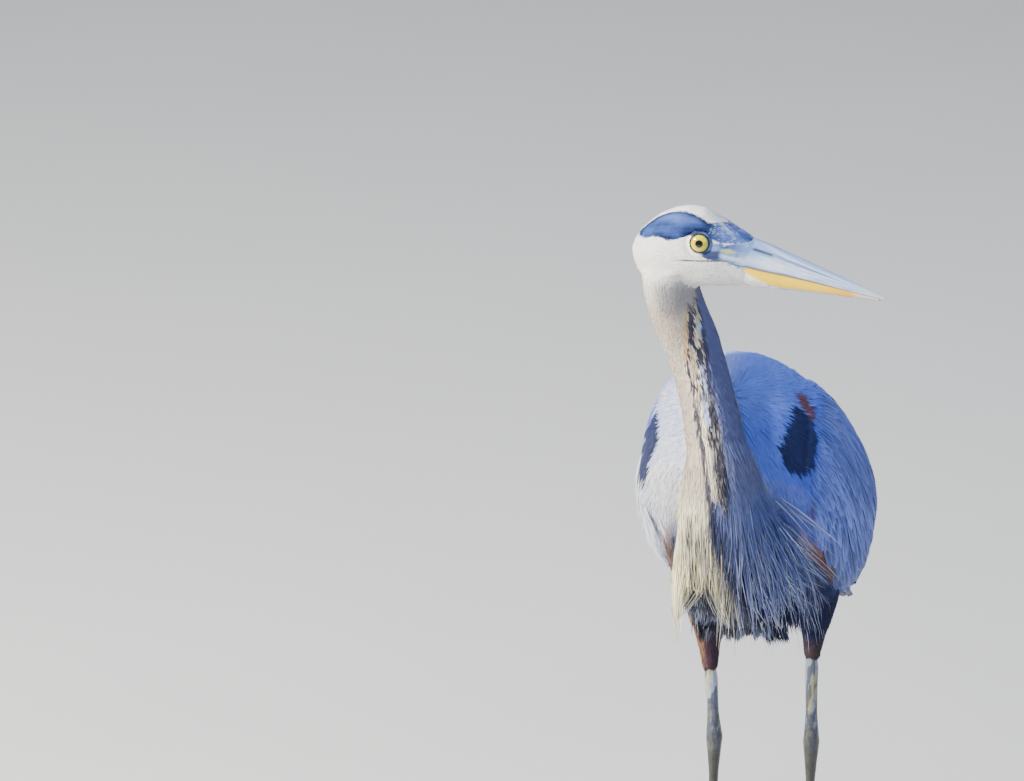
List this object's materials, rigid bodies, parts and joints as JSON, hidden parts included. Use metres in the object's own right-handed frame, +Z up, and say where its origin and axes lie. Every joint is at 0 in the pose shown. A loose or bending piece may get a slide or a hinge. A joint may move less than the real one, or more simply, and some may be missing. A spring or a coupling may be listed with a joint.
{
  "type": "great blue heron",
  "caption": "Life-size standing great blue heron with its neck drawn up and its head turned to its left, folded wings and long breast plumes.",
  "frame": {"origin": "middle of the underside of the whole bird's box, on the floor", "axes": "+Z up, the bird's body faces -Y and its left side is +X"},
  "size_m": [0.285, 0.5366, 0.8014],
  "materials": {
    "head_feathers": "short white feathers with slate-blue side crown stripes",
    "neck_feathers": "soft pinkish grey feathers with a streaked front stripe",
    "breast_plumes": "long narrow cream and grey plumes",
    "body_feathers": "blue-grey contour feathers, pale below",
    "wing_feathers": "blue-grey coverts with pale edges",
    "flight_feathers": "slate-black primaries",
    "tail_feathers": "slate-grey tail feathers",
    "thigh_feathers": "short rufous and navy feathers",
    "upper_bill": "blue-grey horn, satin",
    "lower_bill": "yellow-orange horn, satin",
    "eye": "wet yellow iris with a black pupil",
    "leg_skin": "scaled grey-olive skin",
    "claw": "dark horn"
  },
  "bodies": {
    "root": {"head": "head_feathers", "bill_upper": "upper_bill", "bill_lower": "lower_bill", "eye_left": "eye", "eye_right": "eye", "neck_upper": "neck_feathers", "neck_middle": "neck_feathers", "neck_lower": "neck_feathers", "breast": "breast_plumes", "trunk": "body_feathers", "wing_left": "wing_feathers", "wing_right": "wing_feathers", "primaries_left": "flight_feathers", "primaries_right": "flight_feathers", "tail": "tail_feathers", "thigh_left": "thigh_feathers", "thigh_right": "thigh_feathers", "shank_left": "leg_skin", "shank_right": "leg_skin", "tarsus_left": "leg_skin", "tarsus_right": "leg_skin", "toe_middle_left": "leg_skin", "toe_inner_left": "leg_skin", "toe_outer_left": "leg_skin", "toe_hind_left": "leg_skin", "toe_middle_right": "leg_skin", "toe_inner_right": "leg_skin", "toe_outer_right": "leg_skin", "toe_hind_right": "leg_skin", "claw_middle_left": "claw", "claw_inner_left": "claw", "claw_outer_left": "claw", "claw_hind_left": "claw", "claw_middle_right": "claw", "claw_inner_right": "claw", "claw_outer_right": "claw", "claw_hind_right": "claw"}
  },
  "joints": []
}
